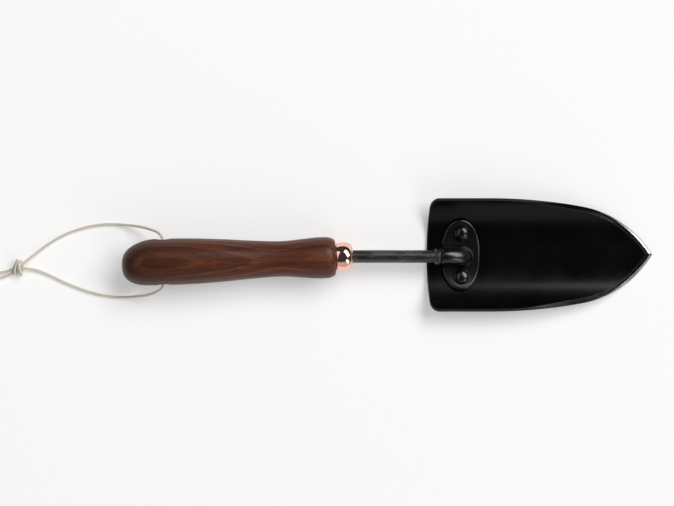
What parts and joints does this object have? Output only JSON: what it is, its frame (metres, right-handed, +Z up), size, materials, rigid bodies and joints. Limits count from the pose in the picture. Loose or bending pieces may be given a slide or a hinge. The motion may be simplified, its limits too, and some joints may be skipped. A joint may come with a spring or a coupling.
{
  "type": "hand trowel",
  "caption": "Garden hand trowel with a pointed black steel blade, turned walnut handle, copper-finished ferrule and a tied cotton wrist cord.",
  "frame": {"origin": "on the resting surface, under the middle of the tool's box measured without its cord", "axes": "+X from the handle's butt to the blade's tip, +Z up out of the blade's hollow side, +Y to the left"},
  "size_m": [0.4462, 0.0742, 0.0307],
  "materials": {
    "black_coat": "semi-gloss black powder coat on pressed steel, bare ground steel on the point's edges",
    "black_rod": "matt black coated round steel bar",
    "copper_plate": "bright copper plate on a drawn cup",
    "walnut": "oiled dark walnut, turned",
    "cotton_cord": "waxed twisted cotton cord, cream"
  },
  "bodies": {
    "root": {"blade": "black_coat", "socket_bracket": "black_coat", "rivet_left": "black_coat", "rivet_right": "black_coat", "shank": "black_rod", "ferrule": "copper_plate", "handle": "walnut", "lanyard_upper": "cotton_cord", "lanyard_lower": "cotton_cord", "lanyard_knot": "cotton_cord", "lanyard_tail_upper": "cotton_cord", "lanyard_tail_lower": "cotton_cord"}
  },
  "joints": []
}
